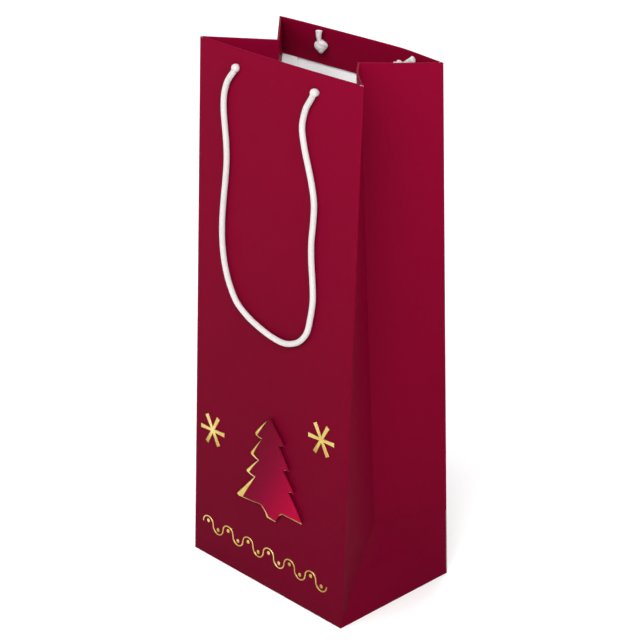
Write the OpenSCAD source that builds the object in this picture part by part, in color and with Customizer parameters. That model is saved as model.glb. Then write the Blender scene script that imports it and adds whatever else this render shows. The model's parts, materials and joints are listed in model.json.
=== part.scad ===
// Wine gift bag of folded art paper, with two cord handles and a raised card tree.
// Origin: middle of the bottom, on the surface that the bag stands on. +Z is up, the front faces -Y.
// Each stretch of paper between two creases is a solid of its own, because it moves on its creases.

/* [Bag] */
// Width of the front and back panels
bag_w = 132; // [124:1:150]
// Depth of the bag at its bottom
bag_d = 92; // [88:1:100]
// Height of the bag
bag_h = 330; // [320:1:360]
// Depth of the mouth with the sides tucked in
mouth_d = 62.4; // [58:0.2:68]
// Height of the crease that runs round the bag above its bottom
fold_z = 46; // [42:1:47]
// How far the sides are tucked in at the mouth
tuck_top = 32; // [28:1:34]
// How far the sides are tucked in at the crease above the bottom
tuck_fold = 18.5; // [14:0.5:20]
// Thickness of the laminated paper
paper_t = 0.4; // [0.3:0.05:0.5]

/* [Bottom] */
// How far the front and back bottom flaps reach past the middle
flap_past_middle = 16; // [5:1:25]
// Length of the two side flaps under the board
side_flap_l = 42; // [30:1:50]
// Thickness of the loose board in the bottom
board_t = 1.2; // [0.8:0.1:2]

/* [Mouth] */
// Height of the strip of paper turned in round the mouth
hem_h = 22.5; // [21:0.5:30]
// Thickness of the stiffening card inside the turned-in strip
card_t = 0.5; // [0.3:0.1:0.8]
// Width of the glued seam flap inside the back panel
seam_w = 14; // [10:1:20]

/* [Handles] */
// Distance of each punched hole from the middle
hole_x = 32; // [30:1:34]
// Distance of the punched holes below the top edge
hole_drop = 11; // [10:0.5:14]
// Radius of the punched holes
hole_r = 2.2; // [2:0.1:2.6]
// Diameter of the soft cord
cord_d = 3.4; // [3:0.1:3.6]

/* [Decoration] */
// Half width of the tree at its lowest branches
tree_half_w = 27.5; // [20:0.5:30]
// Height of the tree with its trunk
tree_h = 66.4; // [50:0.1:68]
// Sideways place of the tree's middle
tree_x = 5; // [-10:0.5:10]
// Height of the trunk's foot above the ground
tree_z = 48.6; // [48.6:0.1:60]
// How far the gold backing shows to the left of the tree
backing_shift = 3.2; // [1:0.1:4]
// Width across a star
star_w = 20.7; // [14:0.1:24]
// Number of waves in the foil border
border_waves = 12; // [6:2:14]

/* [Hidden] */
$fn = 48;

crimson = [0.56, 0.07, 0.19];
burgundy = [0.46, 0.06, 0.16];
gold = [0.80, 0.65, 0.32];
cord_white = [0.94, 0.93, 0.92];
card_grey = [0.80, 0.78, 0.74];

// The front and back lean in from the bottom to the mouth.
lean_run = (bag_d - mouth_d) / 2;
lean = atan(lean_run / bag_h);
function half_d(z) = bag_d / 2 - lean_run * z / bag_h;
function tuck(z) = z < fold_z
    ? tuck_fold * z / fold_z
    : tuck_fold + (tuck_top - tuck_fold) * (z - fold_z) / (bag_h - fold_z);

half_w = bag_w / 2;
hole_z = bag_h - hole_drop;
hem_z = bag_h - hem_h;

// Room at the creases, so that the panels turn without meeting.
crease_gap = 0.4;
corner_gap = 0.5;
corner_start = 0.4;
middle_trim_top = 2.2;
middle_trim_fold = 4.2;
hem_corner_gap = 6;
hem_gap = 0.15;
middle_steps = 20;
hem_steps = 4;
facet_inset = 0.01;

// Room between the bottom flaps and the end triangles, which lean in above them.
flap_end_gap = 0.7;

// Heights of the layers in the bottom, from the ground up.
inner_flap_z = paper_t;
side_flap_z = 2 * paper_t;
board_z = 3 * paper_t;
board_gap = 2;

// Distance of each cord's middle off its panel's outer face. At the holes, where the handle's pivot is,
// it leaves room for the panel's outward bulge, and from cord_rest_drop below them the cord lies closer.
cord_r = cord_d / 2;
front_cord_off = cord_r + 1.4;
back_cord_off = cord_r + 4.3;
cord_rest_off = cord_r + 0.6;
cord_rest_drop = 120;
bead_r = 2.4;
knot_r = 2.9;
knot_ring_r = 2.1;
tail_gap = 0.1;
inside_face = 2 * paper_t + card_t;

// Layers of the tree, from the panel's outer face outwards.
pad_t = 0.8;
backing_t = 0.6;
face_t = 0.7;
backing_drop = 0.5;
pad_r = 5;
star_t = 0.5;
foil_t = 0.25;
border_line = 0.9;
border_w = 111;
border_x = -2.5;
border_z = 22.5;

// Each star's middle: sideways place and height above the ground.
left_star_at = [-50, 87.5];
right_star_at = [44, 116.5];

// Route of each handle from its left hole to its right one.
// Each point is the sideways place and the drop below the line through the holes.
front_route = [
    [-33.3, 2.4], [-38.3, 9], [-41, 17], [-41.3, 26.5], [-40, 37], [-38.7, 47],
    [-38.4, 57], [-39.3, 68], [-40.5, 79], [-41.5, 90], [-41.7, 101], [-40.7, 112],
    [-38.2, 122.5], [-34, 132], [-27.8, 140.5], [-18, 146.5], [-6.5, 150.5], [4.5, 152.8],
    [15, 152.8], [25, 148.5], [31.5, 141], [34.2, 131], [35.7, 120], [35, 108.5],
    [33.7, 97], [33.3, 85.5], [34.3, 74], [34.5, 62.5], [32.3, 52], [29, 42],
    [25.5, 31.5], [23.6, 21], [25.8, 11], [29.6, 4.6], [30.9, 2.5]
];
back_route = [
    [-32.8, 2.6], [-34, 12], [-36.5, 22], [-38.8, 32], [-40.2, 43], [-41, 54],
    [-41, 65], [-40.2, 76], [-39.3, 87], [-38.6, 98], [-37.8, 109], [-36, 120],
    [-32.4, 130], [-26.8, 139], [-19, 146], [-9.5, 150.5], [1, 152.5], [11.5, 151.5],
    [21, 147.3], [29, 140.5], [35, 131.5], [38.8, 121.5], [40.5, 110.5], [40.5, 99.5],
    [39.5, 88.5], [38.4, 77.5], [37.8, 66.5], [38, 55.5], [38.4, 44.5], [38, 33.5],
    [36.4, 23], [34.4, 12.5], [32.8, 2.6]
];

// ---- Shared shapes ----

// A flat plate along the front, from x0 to x1 and z0 to z1. inset is its depth behind the outer face.
module leaning_plate(x0, x1, z0, z1, inset, thick) {
    translate([x0, 0, 0])
        rotate([90, 0, 90])
            linear_extrude(x1 - x0)
                polygon([
                    [inset - half_d(z0), z0],
                    [inset - half_d(z1), z1],
                    [inset + thick - half_d(z1), z1],
                    [inset + thick - half_d(z0), z0]
                ]);
}

// Moves to a place on the front's outer face, with Z pointing straight out of it and Y up along it.
module at_front(x, z) {
    translate([x, -half_d(z), z])
        rotate([90 - lean, 0, 0])
            children();
}

// A flat shape standing on the front's outer face.
module on_front(x, z, off, thick) {
    at_front(x, z)
        translate([0, 0, off])
            linear_extrude(thick)
                children();
}

module to_back() {
    mirror([0, 1, 0])
        children();
}

module to_left() {
    mirror([1, 0, 0])
        children();
}

module cord_holes() {
    for (side = [-1, 1])
        on_front(side * hole_x, hole_z, -2 * inside_face, 4 * inside_face)
            circle(hole_r);
}

// Front half of the right side. layer is the number of paper sheets that it lies inside the first.
function side_corner(z) = [half_w - paper_t, paper_t + corner_gap - half_d(z)];
function side_middle(z) = [half_w - paper_t - tuck(z), 0];
function along(a, b) = (b - a) / norm(b - a);
function side_section(z, start, trim, layer) =
    let (a = side_corner(z), b = side_middle(z), u = along(a, b), out = paper_t * [u[1], -u[0]])
    let (drawn_in = layer * (1 + hem_gap / paper_t) * out)
    let (p = a + u * start - drawn_in, q = b - u * trim - drawn_in)
    [for (c = [p, p + out, q + out, q]) [c[0], c[1], z]];

// The faces of a stack of sections with n corners each: its two ends, then two triangles for each side
// of each level. The sides after the halfway one are cut along their other diagonal, so that the two
// faces of a twisted plate stay parallel.
function side_pair(low, high, k, j, other) = other
    ? [[low + k, high + k, low + j], [high + k, high + j, low + j]]
    : [[low + k, high + k, high + j], [low + k, high + j, low + j]];
function stack_faces(levels, n) = concat(
    [[for (k = [0 : n - 1]) k]],
    [[for (k = [n - 1 : -1 : 0]) (levels - 1) * n + k]],
    [for (i = [0 : levels - 2]) for (k = [0 : n - 1])
        each side_pair(i * n, (i + 1) * n, k, (k + 1) % n, k >= n / 2)]
);

function trim_at(z) = middle_trim_fold
    + (middle_trim_top - middle_trim_fold) * (z - fold_z) / (bag_h - fold_z);

hem_heights = [for (i = [0 : hem_steps]) hem_z + (bag_h - hem_z) * i / hem_steps];

module side_half(heights, start, layer) {
    sections = [for (z = heights) side_section(z, start, trim_at(z), layer)];
    polyhedron(
        points = [for (s = sections) each s],
        faces = stack_faces(len(heights), 4),
        convexity = 4
    );
}

module upper_side() {
    low = fold_z + crease_gap;
    below = [for (i = [0 : middle_steps - 1]) low + (hem_z - low) * i / middle_steps];
    side_half(concat(below, hem_heights), corner_start, 0);
}

module side_hem() {
    side_half(hem_heights, hem_corner_gap, 1);
}

// A flat triangular plate of paper, drawn in a little from its creases. The corners are on its inner
// face, and run so that the plate thickens away from the bottle.
module facet(corners) {
    middle = (corners[0] + corners[1] + corners[2]) / 3;
    inner = [for (p = corners) p + (middle - p) * facet_inset];
    away = cross(corners[1] - corners[0], corners[2] - corners[0]);
    outer = [for (p = inner) p + away / norm(away) * paper_t];
    polyhedron(
        points = concat(inner, outer),
        faces = [[0, 1, 2], [5, 4, 3], [0, 3, 4, 1], [1, 4, 5, 2], [2, 5, 3, 0]]
    );
}

// Corners of the right side below the crease, on its inner face.
foot = [half_w - paper_t, paper_t - half_d(0), 0];
shoulder = [half_w - paper_t, paper_t - half_d(fold_z), fold_z - crease_gap / 2];
waist = [half_w - paper_t - tuck_fold, 0, fold_z - crease_gap / 2];

// A round tube through a route's points, drawn on the panel's face.
tube_sides = 8;
function cord_off_at(off, drop) =
    cord_rest_off + (off - cord_rest_off) * max(0, 1 - drop / cord_rest_drop);
function ring_at(route, off, i) =
    let (last = len(route) - 1, before = route[max(i - 1, 0)], after = route[min(i + 1, last)])
    let (way = (after - before) / norm(after - before))
    [for (k = [0 : tube_sides - 1]) let (a = 360 * k / tube_sides)
        [route[i][0] + cord_r * cos(a) * way[1], -route[i][1] + cord_r * cos(a) * way[0],
            cord_off_at(off, route[i][1]) + cord_r * sin(a)]];

module handle_cord(route, off) {
    color(cord_white)
        at_front(0, hole_z)
            polyhedron(
                points = [for (i = [0 : len(route) - 1]) each ring_at(route, off, i)],
                faces = stack_faces(len(route), tube_sides),
                convexity = 6
            );
}

// Knot inside the panel, its short length through the hole, and the bend where the cord turns down.
module handle_knot(side, tail_angle, tail_l, off) {
    color(cord_white)
        at_front(side * hole_x, hole_z) {
            translate([0, 0, -inside_face - knot_r])
                cylinder(r = cord_r, h = inside_face + knot_r + off);
            translate([0, 0, off])
                sphere(bead_r);
            translate([0, 0, -inside_face - cord_r])
                rotate_extrude()
                    translate([knot_ring_r, 0])
                        circle(cord_r);
            translate([0, 0, -inside_face - knot_r])
                sphere(knot_r);
            translate([0, 0, -inside_face - cord_r - tail_gap]) {
                rotate([0, 90, tail_angle])
                    cylinder(r = cord_r, h = tail_l);
                rotate([0, 0, tail_angle])
                    translate([tail_l, 0, 0])
                        sphere(cord_r);
            }
        }
}

// ---- Bottom ----

module lower_front() {
    color(burgundy)
        leaning_plate(-half_w, half_w, 0, fold_z - crease_gap / 2, 0, paper_t);
}

module lower_back() {
    to_back()
        lower_front();
}

module right_end_triangle() {
    color(burgundy)
        facet([foot, [foot[0], -foot[1], 0], waist]);
}

module left_end_triangle() {
    to_left()
        right_end_triangle();
}

module right_corner_front() {
    color(burgundy)
        facet([foot, waist, shoulder]);
}

module right_corner_back() {
    to_back()
        right_corner_front();
}

module left_corner_front() {
    to_left()
        right_corner_front();
}

module left_corner_back() {
    to_back()
        left_corner_front();
}

module bottom_flap(z) {
    color(burgundy)
        translate([flap_end_gap - half_w, paper_t - bag_d / 2, z])
            cube([bag_w - 2 * flap_end_gap, bag_d / 2 - paper_t + flap_past_middle, paper_t]);
}

module bottom_outer_flap() {
    bottom_flap(0);
}

module bottom_inner_flap() {
    to_back()
        bottom_flap(inner_flap_z);
}

module bottom_right_flap() {
    edge = half_w - 2 * flap_end_gap;
    wide = bag_d / 2 - paper_t;
    color(burgundy)
        translate([0, 0, side_flap_z])
            linear_extrude(paper_t)
                polygon([
                    [edge, -wide], [edge, wide],
                    [edge - side_flap_l, wide - side_flap_l / 2],
                    [edge - side_flap_l, side_flap_l / 2 - wide]
                ]);
}

module bottom_left_flap() {
    to_left()
        bottom_right_flap();
}

module bottom_board() {
    size = [bag_w - 2 * board_gap, bag_d - board_gap, board_t];
    color(card_grey)
        translate([-size[0] / 2, -size[1] / 2, board_z])
            cube(size);
}

// A wave of half rings with a dot in each, foil on the front's lower edge.
module border_wave(side) {
    pitch = border_w / border_waves;
    ring = (pitch + border_line) / 2;
    intersection() {
        difference() {
            circle(ring);
            circle(ring - border_line);
        }
        translate([-pitch, side > 0 ? -0.1 : -pitch + 0.1])
            square([2 * pitch, pitch]);
    }
    translate([0, side * ring / 3])
        circle(ring / 4);
}

module foil_border() {
    pitch = border_w / border_waves;
    color(gold)
        on_front(border_x, border_z, 0, foil_t)
            for (i = [0 : border_waves - 1])
                translate([(i + 0.5) * pitch - border_w / 2, 0])
                    border_wave(i % 2 == 0 ? 1 : -1);
}

// ---- Front ----

module front_panel() {
    color(crimson)
        difference() {
            leaning_plate(-half_w, half_w, fold_z + crease_gap / 2, bag_h, 0, paper_t);
            cord_holes();
        }
}

module front_hem() {
    reach = half_w - hem_corner_gap;
    color(crimson)
        difference() {
            leaning_plate(-reach, reach, hem_z, bag_h, paper_t + card_t, paper_t);
            cord_holes();
        }
}

module front_top_card() {
    reach = half_w - hem_corner_gap;
    color(card_grey)
        difference() {
            leaning_plate(-reach, reach, hem_z + 1, bag_h, paper_t, card_t);
            cord_holes();
        }
}

// Right half of the tree: apex, four tiers of branches, then the trunk. Each pair is a share of the
// half width and of the height.
tree_half = [
    [0, 1], [0.42, 0.782], [0.21, 0.768], [0.565, 0.579], [0.335, 0.548],
    [0.71, 0.384], [0.48, 0.361], [1, 0.089], [0.3, 0.096], [0.16, 0]
];

module tree_outline() {
    right = [for (p = tree_half) [p[0] * tree_half_w, p[1] * tree_h]];
    left = [for (i = [len(right) - 1 : -1 : 1]) [-right[i][0], right[i][1]]];
    polygon(concat(right, left));
}

module tree_pads() {
    color(card_grey)
        for (at = [[0, 0.2], [0, 0.45], [0, 0.68]])
            on_front(tree_x - backing_shift / 2, tree_z + at[1] * tree_h, 0, pad_t)
                circle(at[1] > 0.6 ? pad_r / 2 : pad_r);
}

module tree_backing() {
    color(gold)
        on_front(tree_x - backing_shift, tree_z - backing_drop, pad_t, backing_t)
            tree_outline();
}

module tree_face() {
    color(crimson)
        on_front(tree_x, tree_z, pad_t + backing_t, face_t)
            tree_outline();
}

module star(at) {
    narrow = star_w / 9;
    broad = star_w / 7;
    color(gold)
        on_front(at[0], at[1], 0, star_t)
            for (turn = [0 : 60 : 120])
                rotate(turn - 3)
                    polygon([
                        [-star_w / 2, -broad / 2], [0, -narrow / 2], [star_w / 2, -broad / 2],
                        [star_w / 2, broad / 2], [0, narrow / 2], [-star_w / 2, broad / 2]
                    ]);
}

module left_star() {
    star(left_star_at);
}

module right_star() {
    star(right_star_at);
}

module front_left_knot() {
    handle_knot(-1, 250, 9, front_cord_off);
}

module front_right_knot() {
    handle_knot(1, 285, 8, front_cord_off);
}

// ---- Back ----

module back_panel() {
    to_back()
        front_panel();
}

module back_hem() {
    to_back()
        front_hem();
}

module back_top_card() {
    to_back()
        front_top_card();
}

module seam_flap() {
    color(crimson)
        to_back()
            leaning_plate(1 - half_w, seam_w - half_w, fold_z + crease_gap, hem_z, paper_t, paper_t);
}

module back_left_knot() {
    to_back()
        handle_knot(-1, 98, 9, back_cord_off);
}

module back_right_knot() {
    to_back()
        handle_knot(1, 31, 13, back_cord_off);
}

// ---- Sides ----

module right_gusset_front() {
    color(burgundy)
        upper_side();
}

module right_gusset_back() {
    to_back()
        right_gusset_front();
}

module left_gusset_front() {
    to_left()
        right_gusset_front();
}

module left_gusset_back() {
    to_back()
        left_gusset_front();
}

module right_hem_front() {
    color(burgundy)
        side_hem();
}

module right_hem_back() {
    to_back()
        right_hem_front();
}

module left_hem_front() {
    to_left()
        right_hem_front();
}

module left_hem_back() {
    to_back()
        left_hem_front();
}

// ---- Handles ----

module front_handle_cord() {
    handle_cord(front_route, front_cord_off);
}

module back_handle_cord() {
    to_back()
        handle_cord(back_route, back_cord_off);
}

lower_front();
lower_back();
right_end_triangle();
left_end_triangle();
right_corner_front();
right_corner_back();
left_corner_front();
left_corner_back();
bottom_outer_flap();
bottom_inner_flap();
bottom_right_flap();
bottom_left_flap();
bottom_board();
foil_border();
front_panel();
front_hem();
front_top_card();
tree_pads();
tree_backing();
tree_face();
left_star();
right_star();
front_left_knot();
front_right_knot();
back_panel();
back_hem();
back_top_card();
seam_flap();
back_left_knot();
back_right_knot();
right_gusset_front();
right_gusset_back();
left_gusset_front();
left_gusset_back();
right_hem_front();
right_hem_back();
left_hem_front();
left_hem_back();
front_handle_cord();
back_handle_cord();
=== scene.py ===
import json
import math

import bmesh
import bpy
from mathutils import Matrix, Vector


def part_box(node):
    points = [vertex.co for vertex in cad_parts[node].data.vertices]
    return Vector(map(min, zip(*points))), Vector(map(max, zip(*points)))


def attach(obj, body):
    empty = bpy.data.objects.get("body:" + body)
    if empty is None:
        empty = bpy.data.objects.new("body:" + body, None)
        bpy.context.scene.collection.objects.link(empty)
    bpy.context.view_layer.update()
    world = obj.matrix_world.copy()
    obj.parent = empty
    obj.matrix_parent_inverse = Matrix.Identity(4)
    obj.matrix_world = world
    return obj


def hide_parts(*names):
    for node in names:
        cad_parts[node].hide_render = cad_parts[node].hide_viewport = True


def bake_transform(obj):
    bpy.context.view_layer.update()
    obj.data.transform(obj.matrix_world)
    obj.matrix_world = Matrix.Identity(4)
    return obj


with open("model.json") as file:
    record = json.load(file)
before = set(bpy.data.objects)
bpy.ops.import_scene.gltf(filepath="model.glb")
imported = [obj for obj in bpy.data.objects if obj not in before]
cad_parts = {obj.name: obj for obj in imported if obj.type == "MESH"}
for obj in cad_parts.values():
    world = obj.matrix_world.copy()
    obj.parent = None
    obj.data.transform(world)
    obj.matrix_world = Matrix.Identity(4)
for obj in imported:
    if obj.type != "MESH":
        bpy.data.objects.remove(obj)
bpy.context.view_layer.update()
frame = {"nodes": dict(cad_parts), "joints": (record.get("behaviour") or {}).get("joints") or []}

# A wine gift bag of laminated art paper with two cord handles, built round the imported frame.
# Metres. +Z is up and the front faces -Y. "Red side" is the printed outside of the paper.

MM = 0.001


# ---- Sizes, from the frame ----

def joint_at(name):
    joint = next(j for j in frame["joints"] if j["name"] == name)
    return Vector(joint["pos_m"])


PAPER = 0.4 * MM
CARD = 0.5 * MM
panel_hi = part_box("front_panel")[1]
half_w = panel_hi.x
top_z = panel_hi.z
foot_half_d = -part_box("lower_front")[0].y
mouth_half_d = PAPER - panel_hi.y
fold_z = joint_at("front_lean").z
hem_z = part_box("front_hem")[0].z
lean = math.atan((foot_half_d - mouth_half_d) / top_z)
tuck_fold = half_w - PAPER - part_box("right_end_triangle")[0].x
tuck_top = half_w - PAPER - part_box("right_gusset_front")[0].x

FOLD_R = PAPER + CARD / 2           # outer radius of the paper turned in at the mouth
INSIDE = 2 * FOLD_R                 # depth of the turned-in strip's red side
CREASE_R = 0.45 * MM                # outer radius of a sharp crease

ACROSS = Vector((1, 0, 0))
UP = Vector((0, math.sin(lean), math.cos(lean)))
OUT = Vector((0, -math.cos(lean), math.sin(lean)))


def half_depth(z):
    return foot_half_d - (foot_half_d - mouth_half_d) * z / top_z


def tuck(z):
    if z < fold_z:
        return tuck_fold * z / fold_z
    return tuck_fold + (tuck_top - tuck_fold) * (z - fold_z) / (top_z - fold_z)


def rise(z):
    """0 at the crease above the bottom, 1 at the mouth."""
    return min(1.0, max(0.0, (z - fold_z) / (top_z - fold_z)))


FRONT_BOW = 1.8 * MM
BACK_BOW = 4.2 * MM
BACK_BOW_PEAK = 0.5                 # where the back bulges most, as a share of the half width


def front_bow(x, z):
    """How far the front panel bulges outwards."""
    across = max(0.0, 1 - (x / half_w) ** 2)
    return FRONT_BOW * across * rise(z) ** 1.5


def back_bow(x, z):
    """How far the back panel bulges outwards, most of all above its right hole."""
    share = x / half_w
    left = max(0.0, (share + 1) / (1 + BACK_BOW_PEAK)) ** 0.7
    right = max(0.0, (1 - share) / (1 - BACK_BOW_PEAK)) ** 1.1
    soft = 0.06
    across = (left + right - math.sqrt((left - right) ** 2 + soft)) / 2
    return BACK_BOW * max(0.0, across) * rise(z) ** 1.5


def on_front(x, z, off=0.0):
    return Vector((x, -half_depth(z), z)) + OUT * off


def mirrored_y(p):
    return Vector((p.x, -p.y, p.z))


def mirrored_x(p):
    return Vector((-p.x, p.y, p.z))


# ---- Camera ----

AZIMUTH = math.radians(46.2)
ELEVATION = math.radians(24.0)
DISTANCE = 1.2012
LENS = 113.37                       # focal length in millimetres, on a sensor 36 mm wide
SLIDE_RIGHT, SLIDE_DOWN = 1.5 * MM, 2.07 * MM
back_dir = Vector((
    math.sin(AZIMUTH) * math.cos(ELEVATION),
    -math.cos(AZIMUTH) * math.cos(ELEVATION),
    math.sin(ELEVATION),
))
right_dir = Vector((math.cos(AZIMUTH), math.sin(AZIMUTH), 0))
up_dir = back_dir.cross(right_dir)

camera = bpy.data.objects.new("camera", bpy.data.cameras.new("camera"))
bpy.context.scene.collection.objects.link(camera)
bpy.context.scene.camera = camera
camera.data.sensor_width = 36
camera.data.lens = LENS
camera.location = (
    Vector((0, 0, top_z / 2)) + back_dir * DISTANCE + right_dir * SLIDE_RIGHT - up_dir * SLIDE_DOWN
)
camera.rotation_euler = (-back_dir).to_track_quat("-Z", "Y").to_euler()


# ---- Materials ----

def srgb(red, green, blue):
    """A colour given on the usual 0 to 255 scale, as the shader wants it."""
    def linear(value):
        value /= 255
        return value / 12.92 if value <= 0.04045 else ((value + 0.055) / 1.055) ** 2.4
    return (linear(red), linear(green), linear(blue), 1.0)


def grey(value):
    """A factor for another colour, the same in all three channels."""
    return (value, value, value, 1)


def add_node(tree, kind, inputs=None, **settings):
    made = tree.nodes.new(kind)
    for key, value in settings.items():
        setattr(made, key, value)
    for key, value in (inputs or {}).items():
        if isinstance(value, bpy.types.NodeSocket):
            tree.links.new(value, made.inputs[key])
        else:
            made.inputs[key].default_value = value
    return made


def new_material(name, **fixed):
    """A material, its node tree, its shader and its object coordinates."""
    material = bpy.data.materials.new(name)
    material.use_nodes = True
    tree = material.node_tree
    shader = tree.nodes["Principled BSDF"]
    for key, value in fixed.items():
        shader.inputs[key.replace("_", " ")].default_value = value
    place = add_node(tree, "ShaderNodeTexCoord").outputs["Object"]
    return material, tree, shader, place


def noise_at(tree, place, scale, detail=3.0, roughness=0.5):
    return add_node(
        tree, "ShaderNodeTexNoise",
        {"Vector": place, "Scale": scale, "Detail": detail, "Roughness": roughness},
    ).outputs["Fac"]


def stretched(tree, place, x, y, z):
    return add_node(
        tree, "ShaderNodeMapping", {"Vector": place, "Scale": (x, y, z)}
    ).outputs["Vector"]


def remapped(tree, value, low, high, to_low, to_high):
    return add_node(
        tree, "ShaderNodeMapRange",
        {"Value": value, "From Min": low, "From Max": high, "To Min": to_low, "To Max": to_high},
    ).outputs["Result"]


def colour_ramp(tree, value, *stops):
    """A colour for each value: stops are (position, colour)."""
    made = add_node(tree, "ShaderNodeValToRGB", {"Fac": value})
    ramp = made.color_ramp
    while len(ramp.elements) < len(stops):
        ramp.elements.new(0.5)
    for element, (position, colour) in zip(ramp.elements, stops):
        element.position = position
        element.color = colour
    return made.outputs["Color"]


def multiplied(tree, a, b, factor=1.0):
    mix = add_node(tree, "ShaderNodeMix", data_type="RGBA", blend_type="MULTIPLY")
    mix.inputs["Factor"].default_value = factor
    tree.links.new(a, mix.inputs[6])
    tree.links.new(b, mix.inputs[7])
    return mix.outputs[2]


def bumps(tree, shader, *layers):
    """Adds bump layers, each (height, depth in metres, strength), one over the other."""
    normal = None
    for height, depth, strength in layers:
        inputs = {"Height": height, "Distance": depth, "Strength": strength}
        if normal:
            inputs["Normal"] = normal
        normal = add_node(tree, "ShaderNodeBump", inputs).outputs["Normal"]
    tree.links.new(normal, shader.inputs["Normal"])


def height_of(tree, place):
    return add_node(tree, "ShaderNodeSeparateXYZ", {"Vector": place}).outputs["Z"]


def art_paper():
    """Gloss-laminated paper with a red print, its base colour darkening from crimson at the mouth to
    burgundy at the foot.
    """
    material, tree, shader, place = new_material("art_paper", Specular_IOR_Level=0.015)
    shade = noise_at(tree, place, 9.0, 2.0)
    share = remapped(tree, height_of(tree, place), 0.0, top_z, 0.0, 1.0)
    # The base colour darkens with height, towards the foot.
    base_tone = colour_ramp(
        tree, share,
        (0.0, srgb(92, 2, 28)),
        (0.35, srgb(103, 2, 31)),
        (0.7, srgb(111, 3, 34)),
        (1.0, srgb(118, 4, 37)),
    )
    cloudy = colour_ramp(tree, shade, (0.3, grey(0.95)), (0.7, grey(1.03)))
    specks = noise_at(tree, place, 2600.0, 2.0)
    print_grain = colour_ramp(tree, specks, (0.35, grey(0.955)), (0.65, grey(1)))
    tree.links.new(
        multiplied(tree, multiplied(tree, base_tone, cloudy), print_grain),
        shader.inputs["Base Color"],
    )
    tree.links.new(
        remapped(tree, noise_at(tree, place, 60.0, 4.0), 0.3, 0.7, 0.40, 0.50),
        shader.inputs["Roughness"],
    )
    bumps(
        tree, shader,
        (noise_at(tree, place, 14.0, 2.0), 0.5 * MM, 0.35),
        (noise_at(tree, place, 900.0, 3.0), 0.02 * MM, 0.5),
    )
    return material


def white_paper(name, colour, grain):
    """The uncoated reverse of the paper, or its cut edge, with a faint fibre grain."""
    material, tree, shader, place = new_material(name, IOR=1.45)
    fibres = noise_at(tree, stretched(tree, place, 1.0, 1.0, 0.35), 1800.0, 5.0, 0.7)
    tree.links.new(
        colour_ramp(tree, fibres, (0.3, [c * grain for c in colour[:3]] + [1]), (0.7, colour)),
        shader.inputs["Base Color"],
    )
    tree.links.new(
        remapped(tree, noise_at(tree, place, 150.0), 0.3, 0.7, 0.62, 0.78),
        shader.inputs["Roughness"],
    )
    bumps(tree, shader, (fibres, 0.03 * MM, 0.6))
    return material


def gold_foil():
    """Hot-stamped gold foil, brushed along the height, with painted shade in the hollows of its brush
    grooves.
    """
    material, tree, shader, place = new_material("gold_foil", Metallic=1.0, Anisotropic=0.3)
    brushed = noise_at(tree, stretched(tree, place, 1.0, 1.0, 0.12), 700.0, 4.0, 0.6)
    patches = noise_at(tree, place, 55.0, 3.0)
    tone = colour_ramp(
        tree, patches,
        (0.30, srgb(164, 134, 56)),
        (0.52, srgb(206, 182, 102)),
        (0.70, srgb(228, 210, 144)),
    )
    # Painted shade: the colour darkens along the brush grooves, where the bump sinks.
    painted_groove_shade = colour_ramp(tree, brushed, (0.3, (0.88, 0.86, 0.82, 1)), (0.7, grey(1)))
    tree.links.new(multiplied(tree, tone, painted_groove_shade), shader.inputs["Base Color"])
    tree.links.new(remapped(tree, brushed, 0.3, 0.7, 0.24, 0.42), shader.inputs["Roughness"])
    bumps(
        tree, shader,
        (noise_at(tree, place, 160.0, 3.0), 0.12 * MM, 0.4),
        (brushed, 0.02 * MM, 0.6),
    )
    return material


def magenta_card(lo, hi):
    """Satin card of the tree: dark crimson at its left, magenta towards its lower right."""
    material, tree, shader, place = new_material("magenta_card", Specular_IOR_Level=0.02)
    parts = add_node(tree, "ShaderNodeSeparateXYZ", {"Vector": place}).outputs
    sideways = remapped(tree, parts["X"], lo.x, hi.x, 0.0, 0.62)
    downwards = remapped(tree, parts["Z"], hi.z, lo.z, 0.0, 0.38)
    share = add_node(tree, "ShaderNodeMath", operation="ADD")
    tree.links.new(sideways, share.inputs[0])
    tree.links.new(downwards, share.inputs[1])
    base_tone = colour_ramp(
        tree, share.outputs[0],
        (0.25, srgb(94, 2, 27)),
        (0.50, srgb(112, 2, 38)),
        (0.85, srgb(158, 3, 50)),
    )
    grain = noise_at(tree, place, 1500.0, 3.0)
    specks = colour_ramp(tree, grain, (0.35, grey(0.94)), (0.65, grey(1)))
    tree.links.new(multiplied(tree, base_tone, specks), shader.inputs["Base Color"])
    tree.links.new(
        remapped(tree, noise_at(tree, place, 120.0), 0.3, 0.7, 0.36, 0.46),
        shader.inputs["Roughness"],
    )
    bumps(tree, shader, (grain, 0.02 * MM, 0.5))
    return material


def grey_board():
    """Recycled grey board with flecks of fibre."""
    material, tree, shader, place = new_material("grey_board")
    fibres = noise_at(tree, place, 900.0, 6.0, 0.7)
    flecks = add_node(tree, "ShaderNodeTexVoronoi", {"Vector": place, "Scale": 420.0})
    dark = colour_ramp(
        tree, flecks.outputs["Distance"], (0.05, (0.55, 0.52, 0.48, 1)), (0.16, grey(1))
    )
    base = colour_ramp(tree, fibres, (0.3, srgb(172, 166, 156)), (0.7, srgb(206, 201, 192)))
    tree.links.new(multiplied(tree, base, dark), shader.inputs["Base Color"])
    tree.links.new(remapped(tree, fibres, 0.3, 0.7, 0.78, 0.92), shader.inputs["Roughness"])
    bumps(tree, shader, (fibres, 0.08 * MM, 0.7))
    return material


def foam():
    """Fine-celled white foam."""
    material, tree, shader, place = new_material("foam")
    cells = add_node(tree, "ShaderNodeTexVoronoi", {"Vector": place, "Scale": 2400.0})
    distance = cells.outputs["Distance"]
    tree.links.new(
        colour_ramp(tree, distance, (0.0, srgb(206, 204, 198)), (0.5, srgb(238, 237, 233))),
        shader.inputs["Base Color"],
    )
    tree.links.new(remapped(tree, distance, 0.0, 0.6, 0.95, 0.8), shader.inputs["Roughness"])
    bumps(tree, shader, (distance, 0.2 * MM, 0.8))
    return material


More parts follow.
